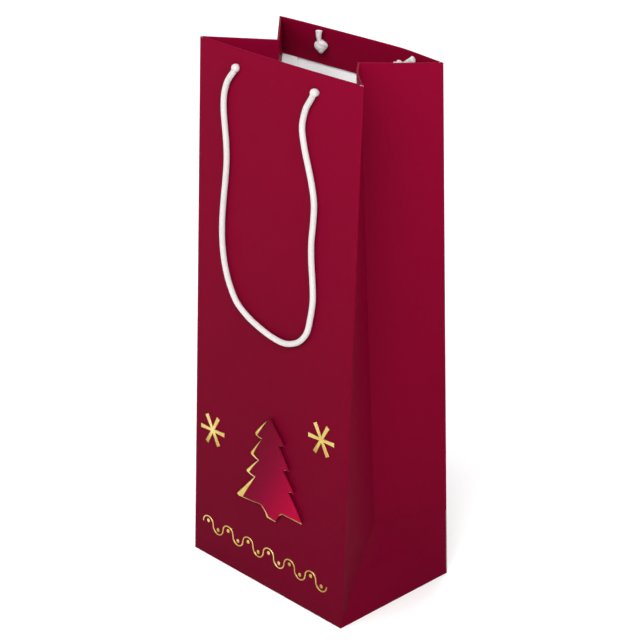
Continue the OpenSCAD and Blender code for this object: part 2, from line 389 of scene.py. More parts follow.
def cord_fibre():
    """Soft white cord: fine fibres over its twist, with a little sheen."""
    material, tree, shader, place = new_material(
        "cord_fibre", Sheen_Weight=0.35, Sheen_Roughness=0.5, Subsurface_Weight=0.05
    )
    fibres = noise_at(tree, stretched(tree, place, 1.0, 1.0, 0.3), 2800.0, 4.0, 0.7)
    tone = noise_at(tree, place, 90.0, 2.0)
    base = colour_ramp(tree, fibres, (0.3, srgb(184, 179, 178)), (0.65, srgb(207, 202, 201)))
    soft = colour_ramp(tree, tone, (0.3, (0.95, 0.945, 0.94, 1)), (0.7, grey(1)))
    tree.links.new(multiplied(tree, base, soft), shader.inputs["Base Color"])
    tree.links.new(remapped(tree, fibres, 0.3, 0.7, 0.75, 0.9), shader.inputs["Roughness"])
    bumps(tree, shader, (fibres, 0.08 * MM, 0.6))
    return material


RED = art_paper()
REVERSE = white_paper("paper_reverse", srgb(250, 250, 250), 0.95)
PAPER_CORE = white_paper("paper_core", srgb(226, 222, 220), 0.85)
GOLD = gold_foil()
TREE_CARD = magenta_card(*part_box("tree_face"))
BOARD = grey_board()
FOAM = foam()
CORD = cord_fibre()


# ---- Meshes ----

def place_mesh(name, bm, materials, sharp=math.radians(35)):
    """Puts a bmesh into the scene as a smooth-shaded piece whose corners stay sharp."""
    mesh = bpy.data.meshes.new(name)
    bm.to_mesh(mesh)
    bm.free()
    for material in materials:
        mesh.materials.append(material)
    mesh.shade_smooth()
    mesh.set_sharp_from_angle(angle=sharp)
    piece = bpy.data.objects.new(name, mesh)
    bpy.context.scene.collection.objects.link(piece)
    return piece


def spread(low, high, count):
    """count + 1 evenly spaced values from low to high."""
    return [low + (high - low) * i / count for i in range(count + 1)]


def merged(*runs):
    """The values of several runs in one rising list, without near repeats."""
    made = []
    for value in sorted(v for run in runs for v in run):
        if not made or value - made[-1] > 0.02 * MM:
            made.append(value)
    return made


HOLE_CUT = 3 * MM                   # half width of the square of cells left out at a hole
HOLE_ROOM = 6 * MM                  # half width of the square in which the grid bends round a hole
HOLE_CELLS = 12


def hole_lines(at):
    return spread(at - HOLE_ROOM, at + HOLE_ROOM, HOLE_CELLS)


def bent_round_holes(u, v, holes, radius):
    """Moves a grid point outwards from a hole's middle, so that the square cut there turns round."""
    for hole_u, hole_v in holes:
        away = Vector((u - hole_u, v - hole_v))
        reach = max(abs(away.x), abs(away.y))
        if HOLE_CUT * 0.99 < reach < HOLE_ROOM:
            share = (reach - HOLE_CUT) / (HOLE_ROOM - HOLE_CUT)
            moved = away.normalized() * radius * (1 - share) + away * share
            return hole_u + moved.x, hole_v + moved.y
    return u, v


def add_sheet(
    bm, us, vs, surface, keep=None, thick=PAPER, turned=False, holes=(), radius=0.0, red_inside=None
):
    """Adds a sheet of real thickness. surface(u, v) is its red side, which faces along du x dv, or the
    other way if turned. Faces take material 0 on the red side, 1 on the reverse and 2 on cut edges."""
    step = 0.01 * MM
    sign = -1 if turned else 1
    outer, inner = {}, {}
    for i, u in enumerate(us):
        for j, v in enumerate(vs):
            a, b = bent_round_holes(u, v, holes, radius)
            point = surface(a, b)
            du = surface(a + step, b) - surface(a - step, b)
            dv = surface(a, b + step) - surface(a, b - step)
            normal = du.cross(dv).normalized() * sign
            outer[i, j] = bm.verts.new(point)
            inner[i, j] = bm.verts.new(point - normal * thick)
    rings = set()
    for i in range(len(us) - 1):
        for j in range(len(vs) - 1):
            u, v = (us[i] + us[i + 1]) / 2, (vs[j] + vs[j + 1]) / 2
            cut = any(max(abs(u - a), abs(v - b)) < HOLE_CUT for a, b in holes)
            if cut or (keep and not keep(u, v)):
                continue
            ring = [(i, j), (i + 1, j), (i + 1, j + 1), (i, j + 1)]
            if turned:
                ring.reverse()
            bm.faces.new([outer[k] for k in ring]).material_index = 0
            reverse = bm.faces.new([inner[k] for k in reversed(ring)])
            reverse.material_index = 0 if red_inside and red_inside(u, v) else 1
            rings.update((ring[k], ring[(k + 1) % 4]) for k in range(4))
    for a, b in rings:
        if (b, a) not in rings:
            bm.faces.new([outer[b], outer[a], inner[a], inner[b]]).material_index = 2
    bmesh.ops.delete(bm, geom=[v for v in bm.verts if not v.link_faces], context="VERTS")


def closed_up(bm):
    """Removes what collapsed at a sheet's pointed corners."""
    bmesh.ops.remove_doubles(bm, verts=bm.verts, dist=0.002 * MM)
    bmesh.ops.dissolve_degenerate(bm, edges=bm.edges, dist=0.001 * MM)
    return bm


# ---- Cords ----

CORD_R = 1.7 * MM
BEAD_R = 2.35 * MM
FRONT_CORD_OFF = CORD_R + 1.4 * MM  # at the holes, the cord's middle lies this far off the flat panel
BACK_CORD_OFF = CORD_R + 4.3 * MM
REST_OFF = CORD_R + 0.6 * MM        # lower down it lies closer
REST_DROP = 120 * MM
hole_x = 32 * MM
hole_z = joint_at("front_handle_swing").z - FRONT_CORD_OFF * math.sin(lean)
HOLE_R = 2.2 * MM


def cord_off_at(off, drop):
    return REST_OFF + (off - REST_OFF) * max(0.0, 1 - drop / REST_DROP)


# Each handle from its left hole to its right one: sideways place and drop below the line through
# the holes, in millimetres.
FRONT_ROUTE = [
    (-33.3, 2.4), (-38.3, 9), (-41, 17), (-41.3, 26.5), (-40, 37), (-38.7, 47),
    (-38.4, 57), (-39.3, 68), (-40.5, 79), (-41.5, 90), (-41.7, 101), (-40.7, 112),
    (-38.2, 122.5), (-34, 132), (-27.8, 140.5), (-18, 146.5), (-6.5, 150.5), (4.5, 152.8),
    (15, 152.8), (25, 148.5), (31.5, 141), (34.2, 131), (35.7, 120), (35, 108.5),
    (33.7, 97), (33.3, 85.5), (34.3, 74), (34.5, 62.5), (32.3, 52), (29, 42),
    (25.5, 31.5), (23.6, 21), (25.8, 11), (29.6, 4.6), (30.9, 2.5),
]
BACK_ROUTE = [
    (-32.8, 2.6), (-34, 12), (-36.5, 22), (-38.8, 32), (-40.2, 43), (-41, 54),
    (-41, 65), (-40.2, 76), (-39.3, 87), (-38.6, 98), (-37.8, 109), (-36, 120),
    (-32.4, 130), (-26.8, 139), (-19, 146), (-9.5, 150.5), (1, 152.5), (11.5, 151.5),
    (21, 147.3), (29, 140.5), (35, 131.5), (38.8, 121.5), (40.5, 110.5), (40.5, 99.5),
    (39.5, 88.5), (38.4, 77.5), (37.8, 66.5), (38, 55.5), (38.4, 44.5), (38, 33.5),
    (36.4, 23), (34.4, 12.5), (32.8, 2.6),
]


def on_panel(x, rise_above_holes, off):
    """A point by its sideways place, its height above the line through the holes and its distance off
    the front panel's outer face."""
    return on_front(0, hole_z) + ACROSS * x + UP * rise_above_holes + OUT * off


CURVE_STEPS = 24                    # fine steps between two given points of a curve


def smoothed(points, step):
    """Points a step apart along the smooth curve that passes through the given ones."""
    padded = [points[0] * 2 - points[1], *points, points[-1] * 2 - points[-2]]
    dense = []
    for a, b, c, d in zip(padded, padded[1:], padded[2:], padded[3:]):
        for k in range(CURVE_STEPS):
            t = k / CURVE_STEPS
            dense.append(0.5 * (
                b * 2 + (c - a) * t + (a * 2 - b * 5 + c * 4 - d) * t ** 2
                + (b * 3 - a - c * 3 + d) * t ** 3
            ))
    dense.append(points[-1])
    lengths = [0.0]
    for a, b in zip(dense, dense[1:]):
        lengths.append(lengths[-1] + (b - a).length)
    count = max(2, round(lengths[-1] / step))
    made, k = [], 0
    for i in range(count + 1):
        goal = lengths[-1] * i / count
        while k < len(dense) - 2 and lengths[k + 1] < goal:
            k += 1
        span = lengths[k + 1] - lengths[k]
        made.append(dense[k].lerp(dense[k + 1], (goal - lengths[k]) / span if span else 0.0))
    return made


STRANDS = 8                         # strands that run each way round the braid
BRAID_PITCH = 9 * MM
BRAID_DEPTH = 0.05 * MM
TUBE_SIDES = 32
RING_STEP = 0.55 * MM


def add_braid(bm, path, radius_at):
    """Adds a braided tube along a path of close points, with rounded ends. radius_at takes the share of
    the way along."""
    first = len(bm.verts)
    tangent = (path[1] - path[0]).normalized()
    side = tangent.orthogonal().normalized()
    way, rings = 0.0, []
    for i, point in enumerate(path):
        ahead = (path[min(i + 1, len(path) - 1)] - path[max(i - 1, 0)]).normalized()
        side = (tangent.rotation_difference(ahead) @ side).normalized()
        tangent = ahead
        other = tangent.cross(side)
        way += (point - path[i - 1]).length if i else 0.0
        radius = radius_at(i / (len(path) - 1))
        ring = []
        for k in range(TUBE_SIDES):
            angle = 2 * math.pi * k / TUBE_SIDES
            turn = 2 * math.pi * way / BRAID_PITCH
            relief = math.cos(STRANDS / 2 * (angle + turn)) * math.cos(STRANDS / 2 * (angle - turn))
            reach = radius + BRAID_DEPTH * (abs(relief) - 0.5)
            ring.append(bm.verts.new(
                point + (side * math.cos(angle) + other * math.sin(angle)) * reach
            ))
        rings.append(ring)
    for low, high in zip(rings, rings[1:]):
        for k in range(TUBE_SIDES):
            j = (k + 1) % TUBE_SIDES
            bm.faces.new([low[k], low[j], high[j], high[k]])
    for ring, outward in ((rings[0], path[0] - path[1]), (rings[-1], path[-1] - path[-2])):
        centre = sum((v.co for v in ring), Vector()) / TUBE_SIDES
        bulge = outward.normalized() * radius_at(0.0) * 0.35
        tip = bm.verts.new(centre + bulge)
        middle = [bm.verts.new(centre.lerp(v.co, 0.72) + bulge * 0.75) for v in ring]
        for k in range(TUBE_SIDES):
            j = (k + 1) % TUBE_SIDES
            bm.faces.new([ring[k], ring[j], middle[j], middle[k]])
            bm.faces.new([middle[k], middle[j], tip])
    bm.verts.ensure_lookup_table()
    made = dict.fromkeys(f for v in bm.verts[first:] for f in v.link_faces)
    bmesh.ops.recalc_face_normals(bm, faces=list(made))


def make_cord(name, route, off, to_side):
    """A handle from hole to hole. off is its distance from the flat panel at the holes."""
    ends = [on_panel(s * hole_x, 0, off) for s in (-1, 1)]
    points = [on_panel(x * MM, -drop * MM, cord_off_at(off, drop * MM)) for x, drop in route]
    path = [to_side(p) for p in smoothed([ends[0], *points, ends[1]], RING_STEP)]
    bm = bmesh.new()
    add_braid(bm, path, lambda share: CORD_R)
    cord = place_mesh(name, bm, [CORD], math.radians(80))
    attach(cord, name)
    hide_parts(name + "_cord")
    return cord, path


TREFOIL_R = 0.9 * MM                # a third of the trefoil's reach
TREFOIL_STEPS = 60
TREFOIL_START = -60                 # degrees along it where the cord goes in
TREFOIL_TURN = 345.6                # degrees from there to where it comes out
KNOT_STRAND_R = 1.6 * MM
KNOT_CORE_R = 3.4 * MM              # a ball that fills the middle of the drawn knot
KNOT_BEHIND = 2.6 * MM              # from the turned-in strip to the knot's middle
TAIL_DROOP = 0.9 * MM


def knot_path(centre, step):
    """An overhand knot drawn tight: a trefoil left open where the cord goes in and comes out."""
    turns = []
    for t in spread(TREFOIL_START, TREFOIL_START + TREFOIL_TURN, TREFOIL_STEPS):
        t = math.radians(t)
        turns.append(centre + TREFOIL_R * (
            ACROSS * (math.sin(t) + 2 * math.sin(2 * t))
            + UP * (math.cos(t) - 2 * math.cos(2 * t))
            + OUT * 1.35 * math.sin(3 * t)
        ))
    return smoothed(turns, step)


def make_knot(name, side, bow, off, tail_angle, tail_l, place, to_side, body):
    """The knot inside the panel, the cord through the hole, and its bend outside. side is -1 or 1, bow is
    the panel's bulge and off the cord's distance. place says how far the knot has settled sideways and
    upwards from the hole's middle, in millimetres, like the tail's length."""
    x = side * hole_x
    shift = bow(x, hole_z)
    bm = bmesh.new()
    bend = on_panel(x, 0, off)
    inner = on_panel(x, 0, shift - INSIDE)
    centre = on_panel(x + place[0] * MM, place[1] * MM, shift - INSIDE - KNOT_BEHIND)
    stem = smoothed([centre, inner, bend], RING_STEP)
    add_braid(bm, stem, lambda share: CORD_R)
    add_braid(bm, knot_path(centre, RING_STEP), lambda share: KNOT_STRAND_R)
    bmesh.ops.create_uvsphere(
        bm, u_segments=32, v_segments=20, radius=KNOT_CORE_R, matrix=Matrix.Translation(centre)
    )
    angle = math.radians(tail_angle)
    tail_dir = ACROSS * math.cos(angle) + UP * math.sin(angle)
    droop = OUT * -TAIL_DROOP
    tail = [centre + tail_dir * tail_l * MM * s + droop * math.sin(s * 3) for s in (0, 0.35, 0.7, 1)]

    def flare(share):
        """The tail narrows past the knot and frays towards its end."""
        return (1.45 - 0.25 * math.sin(math.pi * min(1, share * 1.5)) + 0.55 * share ** 4) * MM

    add_braid(bm, smoothed(tail, RING_STEP), flare)
    ball = bmesh.ops.create_uvsphere(
        bm, u_segments=40, v_segments=28, radius=BEAD_R,
        matrix=Matrix.Translation(bend - OUT * 0.2 * MM),
    )["verts"]
    for vert in ball:
        away = vert.co - bend
        turn = math.atan2(away.dot(UP), away.dot(ACROSS))
        across = away.dot(OUT) / BEAD_R
        vert.co += away.normalized() * BRAID_DEPTH * math.cos(8 * turn + 9 * across)
    for vert in bm.verts:
        vert.co = to_side(vert.co)
    bmesh.ops.recalc_face_normals(bm, faces=bm.faces)
    knot = place_mesh(name + "_cord", bm, [CORD], math.radians(80))
    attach(knot, body)
    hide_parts(name)
    return knot


def kept(p):
    return p


front_cord, front_path = make_cord("front_handle", FRONT_ROUTE, FRONT_CORD_OFF, kept)
back_cord, back_path = make_cord("back_handle", BACK_ROUTE, BACK_CORD_OFF, mirrored_y)
in_front = (kept, "front_panel")
behind = (mirrored_y, "back_panel")
front_knots = [
    make_knot("front_left_knot", -1, front_bow, FRONT_CORD_OFF, 250, 9, (0, 0), *in_front),
    make_knot("front_right_knot", 1, front_bow, FRONT_CORD_OFF, 285, 8, (0, 0), *in_front),
]
back_knots = [
    make_knot("back_left_knot", -1, back_bow, BACK_CORD_OFF, 98, 9, (2.5, 0.5), *behind),
    make_knot("back_right_knot", 1, back_bow, BACK_CORD_OFF, 31, 13, (0, 1), *behind),
]


# ---- Front and back sheets ----

def gusset_angle(z):
    """How far the folded-in side turns away from straight back, at a height."""
    z = max(z, fold_z)
    return math.atan2(tuck(z), half_depth(z))


FLAT_U = half_w - 1.1 * MM          # the flat stretch of a panel ends about here
CORNER_TURNS = 6
FOLD_FINE = 4 * MM                  # the grid is finer this far above and below the crease
HEM_END = half_w - 3.0 * MM         # the turned-in strip stops where the side's one begins
HEM_STEP = 0.2 * MM                 # width of the notch's edge at each end of that strip
HEM_LIFT = 3 * MM                   # past the strip's ends, the paper runs up over this height
HEM_SHARE = 1 / 16                  # and the side's one stops this share short of the corner
arc_l = FOLD_R * math.pi            # paper used by the fold at the mouth
v_foot = CREASE_R * math.pi / 2     # paper used by the fold at the foot
v_top = v_foot + (top_z - FOLD_R - CREASE_R)
v_hem = v_top + arc_l
v_end = v_hem + (top_z - FOLD_R - hem_z)
v_behind_hem = v_foot + hem_z - CREASE_R    # from here up, the strip turned in hides the reverse side
v_hole = v_foot + hole_z - CREASE_R
v_hole_inside = v_hem + (top_z - FOLD_R - hole_z)
v_fold = v_foot + fold_z - CREASE_R


def up_the_sheet(v):
    """Height of the red side and its depth behind the outer face, along the paper from the foot."""
    if v < v_foot:
        angle = v / CREASE_R
        return CREASE_R * (1 - math.cos(angle)), CREASE_R * (1 - math.sin(angle))
    if v < v_top:
        return CREASE_R + v - v_foot, 0.0
    if v < v_hem:
        angle = (v - v_top) / FOLD_R
        return top_z - FOLD_R + FOLD_R * math.sin(angle), FOLD_R * (1 - math.cos(angle))
    return top_z - FOLD_R - (v - v_hem), INSIDE


def corner_lift(past_end, v):
    """Past the ends of the mouth's fold, the paper runs straight up to the same height."""
    if past_end <= 0:
        return 0.0
    return 0.8 * FOLD_R * min(1.0, max(0.0, 1 - (v_top - v) / HEM_LIFT))


def panel_surface(bow):
    """The red side of a panel, written for the front: across, round the corners, up and over."""
    def surface(u, v):
        z, depth = up_the_sheet(v)
        z += corner_lift(abs(u) - HEM_END - HEM_STEP / 2, v)
        flat = half_w - CREASE_R
        over = (abs(u) - FLAT_U) / (half_w - FLAT_U)
        if over <= 0:
            x = u * flat / FLAT_U
        else:
            if v < v_foot:
                straight = min(1.0, 3 * over)     # the foot's round edge fades out at the corner
                z += (CREASE_R * v / v_foot - z) * straight
                depth *= 1 - straight
            angle = over * (math.pi / 2 + gusset_angle(z))
            x = math.copysign(flat + CREASE_R * math.sin(angle), u)
            depth += CREASE_R * (1 - math.cos(angle))
        return on_front(x, z, bow(x, z) - depth)
    return surface


def panel_keep(u, v):
    """The mouth's fold and the strip inside stop short of the corners."""
    return v < v_top or abs(u) < HEM_END


def panel_red_inside(u, v):
    """The corners of the mouth, where the side's strip turned in covers the reverse side."""
    return abs(u) > HEM_END - 1 * MM and v_behind_hem < v < v_top


def panel_lines():
    holes = [hole_lines(s * hole_x) for s in (-1, 1)]
    ends = [spread(s * FLAT_U, s * half_w, CORNER_TURNS) for s in (-1, 1)]
    hem_ends = [[s * HEM_END, s * (HEM_END + HEM_STEP)] for s in (-1, 1)]
    plain = [x for x in spread(-FLAT_U, FLAT_U, 44) if abs(abs(x) - hole_x) > HOLE_ROOM * 1.1]
    us = merged(plain, *holes, *ends, *hem_ends)
    vs = merged(
        spread(0, v_foot, 4),
        spread(v_foot, v_fold - FOLD_FINE, 6),
        spread(v_fold - FOLD_FINE, v_fold + FOLD_FINE, 8),
        spread(v_fold + FOLD_FINE, v_hole - HOLE_ROOM, 40),
        hole_lines(v_hole),
        spread(v_hole + HOLE_ROOM, v_top, 3),
        spread(v_top, v_hem, 8),
        [v_hem + 2 * MM],
        hole_lines(v_hole_inside),
        spread(v_hole_inside + HOLE_ROOM, v_end, 2),
    )
    return us, vs


def make_panel(facing, bow, to_side):
    """The front or back of the sheet with its strip turned in, written for the front."""
    us, vs = panel_lines()
    holes = [(s * hole_x, v) for s in (-1, 1) for v in (v_hole, v_hole_inside)]
    surface = panel_surface(bow)
    bm = bmesh.new()
    add_sheet(
        bm, us, vs, lambda u, v: to_side(surface(u, v)), panel_keep,
        turned=to_side is mirrored_y, holes=holes, radius=HOLE_R, red_inside=panel_red_inside,
    )
    piece = place_mesh(f"{facing}_sheet", bm, [RED, REVERSE, PAPER_CORE])
    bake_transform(piece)
    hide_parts(f"lower_{facing}", f"{facing}_panel", f"{facing}_hem")


FACES = (("front", front_bow, kept), ("back", back_bow, mirrored_y))
for panel in FACES:
    make_panel(*panel)


# ---- Stiffening cards in the mouth ----

def make_top_card(facing, bow, to_side):
    """The card between a panel and its turned-in strip."""
    card_lo, card_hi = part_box("front_top_card")
    bm = bmesh.new()
    holes = [(s * hole_x, hole_z) for s in (-1, 1)]
    us = merged(spread(card_lo.x, card_hi.x, 30), *[hole_lines(s * hole_x) for s in (-1, 1)])
    vs = merged([hem_z + 1 * MM], hole_lines(hole_z), [top_z - FOLD_R])

    def surface(x, z):
        return to_side(on_front(x, z, bow(x, z) - PAPER - 0.02 * MM))
    add_sheet(
        bm, us, vs, surface, thick=CARD - 0.04 * MM, turned=to_side is mirrored_y,
        holes=holes, radius=HOLE_R,
    )
    for face in bm.faces:
        face.material_index = 0
    piece = place_mesh(f"{facing}_top_card_board", bm, [BOARD])
    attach(piece, f"{facing}_panel")
    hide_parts(f"{facing}_top_card")


for panel in FACES:
    make_top_card(*panel)


# ---- Folded-in sides ----

LAP = 4 * MM                        # a strip behind each crease closes it when the bag opens
LAP_BACK = 3 * MM                   # how far that strip starts before the crease
LAP_GAP = 0.08 * MM
SIDE_RED = 0.12                     # share of a side half whose reverse the strip turned in hides
us_side = merged(spread(0, 1, 16), [HEM_SHARE * 0.9])


def side_frame(z, shift=(0, 0)):
    """Corner, crease, direction towards the crease and outward normal of the right front half. shift is
    how far the crease has wandered inwards and backwards at the mouth."""
    corner = Vector((half_w, -half_depth(z), z))
    wander = rise(z) ** 1.3
    crease = Vector((half_w - tuck(z) - shift[0] * wander, shift[1] * wander, z))
    towards = (crease - corner).normalized()
    outward = Vector((towards.y, -towards.x, 0))
    return corner, crease, towards, outward


def side_surface(share, v, shift, bulge):
    """Red side of the right front half: share runs from the corner to the middle crease. bulge is how
    far its middle stands outwards at the mouth."""
    z, depth = up_the_sheet(v)
    z += corner_lift(HEM_SHARE * 0.95 - share, v)
    corner, crease, towards, outward = side_frame(z, shift)
    turn = gusset_angle(z)
    begin = corner + CREASE_R * Vector((math.cos(turn) - 1, math.sin(turn) + 1, 0))
    end = crease + towards * depth * math.tan(turn)
    stands = bulge * max(0.0, math.sin(math.pi * share)) ** 1.2 * rise(z) ** 1.5
    return begin.lerp(end, share) + outward * (stands - depth)


def side_keep(share, v):
    return v < v_top or share > HEM_SHARE


def crease_strip(offset, z, shift):
    """A strip behind the middle crease: offset runs from the front half across to the back half."""
    back_shift = (shift[0], -shift[1])
    _, crease, towards, outward = side_frame(z, shift if offset <= 0 else back_shift)
    behind = PAPER + LAP_GAP
    point = crease + towards * (behind * math.tan(gusset_angle(z)) - abs(offset)) - outward * behind
    return point if offset <= 0 else mirrored_y(point)


def side_red_inside(share, v):
    return share < SIDE_RED and v_behind_hem < v < v_top


def colour_cut_edges_red(bm):
    for face in bm.faces:
        if face.material_index == 2:
            face.material_index = 0


def make_side_half(side, facing, to_place, shift, bulge):
    flips = to_place(Vector((1, 1, 1)))
    turned = flips.x * flips.y < 0
    vs = merged(spread(v_fold, v_top, 44), spread(v_top, v_hem, 8), spread(v_hem, v_end, 6))
    bm = bmesh.new()
    add_sheet(
        bm, us_side, vs, lambda u, v: to_place(side_surface(u, v, shift, bulge)), side_keep,
        turned=turned, red_inside=side_red_inside,
    )
    if facing == "front":
        across = merged(spread(-LAP_BACK, 0, 4), spread(0, LAP, 6))
        add_sheet(
            bm, across, spread(fold_z + 0.5 * MM, top_z - 3 * MM, 40),
            lambda u, v: to_place(crease_strip(u, v, shift)), turned=turned,
        )
    colour_cut_edges_red(bm)
    piece = place_mesh(f"{side}_side_{facing}", bm, [RED, REVERSE])
    gusset = f"{side}_gusset_{facing}"
    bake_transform(piece)
    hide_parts(gusset, f"{side}_hem_{facing}")


def both_mirrored(p):
    return mirrored_x(mirrored_y(p))


# Each side: where its halves go, how far its middle crease has wandered inwards and backwards at the
# mouth, and how far its front and back halves bulge there.
for side, places, (inwards, backwards), bulges in (
    ("right", (kept, mirrored_y), (1 * MM, -2.5 * MM), (-1.5 * MM, 1.0 * MM)),
    ("left", (mirrored_x, both_mirrored), (5 * MM, -4 * MM), (0, 0)),
):
    make_side_half(side, "front", places[0], (inwards, backwards), bulges[0])
    make_side_half(side, "back", places[1], (inwards, -backwards), bulges[1])


# ---- Sides below the crease ----

DENT_SLOPE = 0.14                   # the middle crease runs on a little way below the end triangle's tip
DENT_FOOT = 0.5                     # from this share of the height upwards
FACET_END = 0.5                     # where a corner facet meets the end triangle, across a side
FOLD_STRIP_END = 0.94               # how near to the corners the strip behind the crease comes
FOLD_STRIP_LOW = -0.8 * MM


def foot_side_surface(u, v):
    """Red side of the right side below the crease, u from -1 at the front to 1 at the back. The end
    triangle meets the two corner facets where abs(u) is FACET_END, one half."""
    z = fold_z * v
    depth = half_depth(z)
    run = half_depth(fold_z) * v          # depth of the corner facet at this height
    begin = min(0.9 * run, CREASE_R * (1 + math.sin(gusset_angle(fold_z))))
    if abs(u) > FACET_END:
        y = depth - begin - (run - begin) * (1 - abs(u)) * 2
    else:
        y = (depth - run) * abs(u) * 2
    facet_x = half_w - tuck_fold * (depth - y) / half_depth(fold_z)
    triangle_x = half_w - tuck_fold * v
    soft = 0.25 * MM * min(1.0, run / depth, 4 * (1 - v))
    gap = facet_x - triangle_x
    x = (facet_x + triangle_x + math.sqrt(gap * gap + soft * soft)) / 2
    dent = DENT_SLOPE * max(0.0, (v - DENT_FOOT) / (1 - DENT_FOOT)) ** 0.5
    x -= dent * max(0.0, depth - run - y)
    return Vector((min(x, half_w), math.copysign(y, u), z))


def fold_strip(u, v):
    """A strip behind the crease above the foot, u from -1 at the front to 1 at the back."""
    z = fold_z + v
    corner, crease, towards, outward = side_frame(z)
    behind = PAPER + LAP_GAP
    mitre = behind * tuck(z) / half_depth(z)
    length = (crease - corner).length
    point = corner + towards * ((length + mitre) * (1 - abs(u))) - outward * behind
    return point if u <= 0 else mirrored_y(point)


def make_foot_side(side, to_place):
    flipped = to_place is mirrored_x
    near_crease = [0.35, 0.42, 0.46, 0.48, 0.49, 0.495, 0.5, 0.505, 0.51, 0.52, 0.54, 0.58, 0.65]
    half = merged([0, 0.04, 0.12, 0.24], near_crease, [0.76, 0.88, 1.0])
    us = merged([-u for u in half], half)
    bm = bmesh.new()
    add_sheet(
        bm, us, spread(0.004, 0.998, 24),
        lambda u, v: to_place(foot_side_surface(u, v)), turned=flipped,
    )
    add_sheet(
        bm, spread(-FOLD_STRIP_END, FOLD_STRIP_END, 16), spread(FOLD_STRIP_LOW, LAP, 6),
        lambda u, v: to_place(fold_strip(u, v)), turned=flipped,
    )
    colour_cut_edges_red(bm)
    piece = place_mesh(f"{side}_foot_side", closed_up(bm), [RED, REVERSE])
    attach(piece, "base")
    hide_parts(f"{side}_end_triangle", f"{side}_corner_front", f"{side}_corner_back")


make_foot_side("right", kept)
make_foot_side("left", mirrored_x)


# ---- Bottom ----

def add_plate(bm, corners, low, high, bevel):
    """A flat plate over an outline of (x, y) corners, with its rims rounded off."""
    bottom = [bm.verts.new((x, y, low)) for x, y in corners]
    top = [bm.verts.new((x, y, high)) for x, y in corners]
    count = len(corners)
    bm.faces.new(list(reversed(bottom))).material_index = 0
    bm.faces.new(top).material_index = 1
    for k in range(count):
        j = (k + 1) % count
        bm.faces.new([bottom[k], bottom[j], top[j], top[k]]).material_index = 2
    rims = [e for e in bm.edges if any(all(v in ring for v in e.verts) for ring in (bottom, top))]
    bmesh.ops.bevel(bm, geom=rims, offset=bevel, segments=2, profile=0.5, affect="EDGES")


def make_flap(node, materials, bevel=0.08 * MM, cuts=(0, 0)):
    """A flat piece of the bottom. cuts says how far the ends run in at 45 degrees at its left and at its
    right edge, as a share of its width."""
    lo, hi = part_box(node)
    left, right = (cut * (hi.x - lo.x) for cut in cuts)
    outline = [(lo.x, lo.y + left), (hi.x, lo.y + right), (hi.x, hi.y - right), (lo.x, hi.y - left)]
    bm = bmesh.new()
    add_plate(bm, outline, lo.z, hi.z, bevel)
    bmesh.ops.recalc_face_normals(bm, faces=bm.faces)
    piece = place_mesh(node + "_sheet", bm, materials)
    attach(piece, "base")
    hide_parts(node)


for flap, flap_cuts in (
    ("bottom_outer_flap", (0, 0)), ("bottom_inner_flap", (0, 0)),
    ("bottom_right_flap", (0.5, 0)), ("bottom_left_flap", (0, 0.5)),
):
    make_flap(flap, [RED, REVERSE, PAPER_CORE], cuts=flap_cuts)
make_flap("bottom_board", [BOARD, BOARD, BOARD], bevel=0.25 * MM)


# ---- Decoration ----

def on_bowed_front(x, z, off):
    """A point off the bulging front panel. z is its height above the ground."""
    return on_front(x, z, front_bow(x, z) + off)


CARD_CELL = 2.2 * MM                # a card shape is cut into cells of this size, to follow the bulge


def add_card_shape(bm, outline, off, thick, bevel):
    """A flat shape cut from card and laid on the front. outline holds (x, height) corners in order."""
    shape = bmesh.new()
    verts = [shape.verts.new((x, z, 0)) for x, z in outline]
    face = shape.faces.new(verts)
    if face.normal.z < 0:
        face.normal_flip()
    made = bmesh.ops.extrude_face_region(shape, geom=[face])
    raised = [g for g in made["geom"] if isinstance(g, bmesh.types.BMVert)]
    bmesh.ops.translate(shape, verts=raised, vec=(0, 0, thick))
    rim = [e for e in shape.edges if all(v in raised for v in e.verts)]
    bmesh.ops.bevel(
        shape, geom=rim, offset=bevel, segments=3, profile=0.5, affect="EDGES", clamp_overlap=True
    )
    lows = [min(v.co[k] for v in shape.verts) for k in (0, 1)]
    highs = [max(v.co[k] for v in shape.verts) for k in (0, 1)]
    for k in (0, 1):
        axis = Vector((1 - k, k, 0))
        cells = max(2, round((highs[k] - lows[k]) / CARD_CELL))
        for value in spread(lows[k], highs[k], cells)[1:-1]:
            bmesh.ops.bisect_plane(
                shape, geom=shape.verts[:] + shape.edges[:] + shape.faces[:],
                plane_co=axis * value, plane_no=axis, dist=0.001 * MM,
            )
    bmesh.ops.recalc_face_normals(shape, faces=shape.faces)
    for v in shape.verts:
        v.co = on_bowed_front(v.co.x, v.co.y, off + v.co.z)
    mesh = bpy.data.meshes.new("shape")
    shape.to_mesh(mesh)
    shape.free()
    bm.from_mesh(mesh)
    bpy.data.meshes.remove(mesh)


def place_card_shape(name, outline, off, thick, bevel, material, node):
    bm = bmesh.new()
    add_card_shape(bm, outline, off, thick, bevel)
    bmesh.ops.recalc_face_normals(bm, faces=bm.faces)
    piece = place_mesh(name, bm, [material], math.radians(40))
    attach(piece, "front_panel")
    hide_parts(node)


PAD_T = 0.8 * MM
BACKING_T = 0.6 * MM
FACE_T = 0.7 * MM

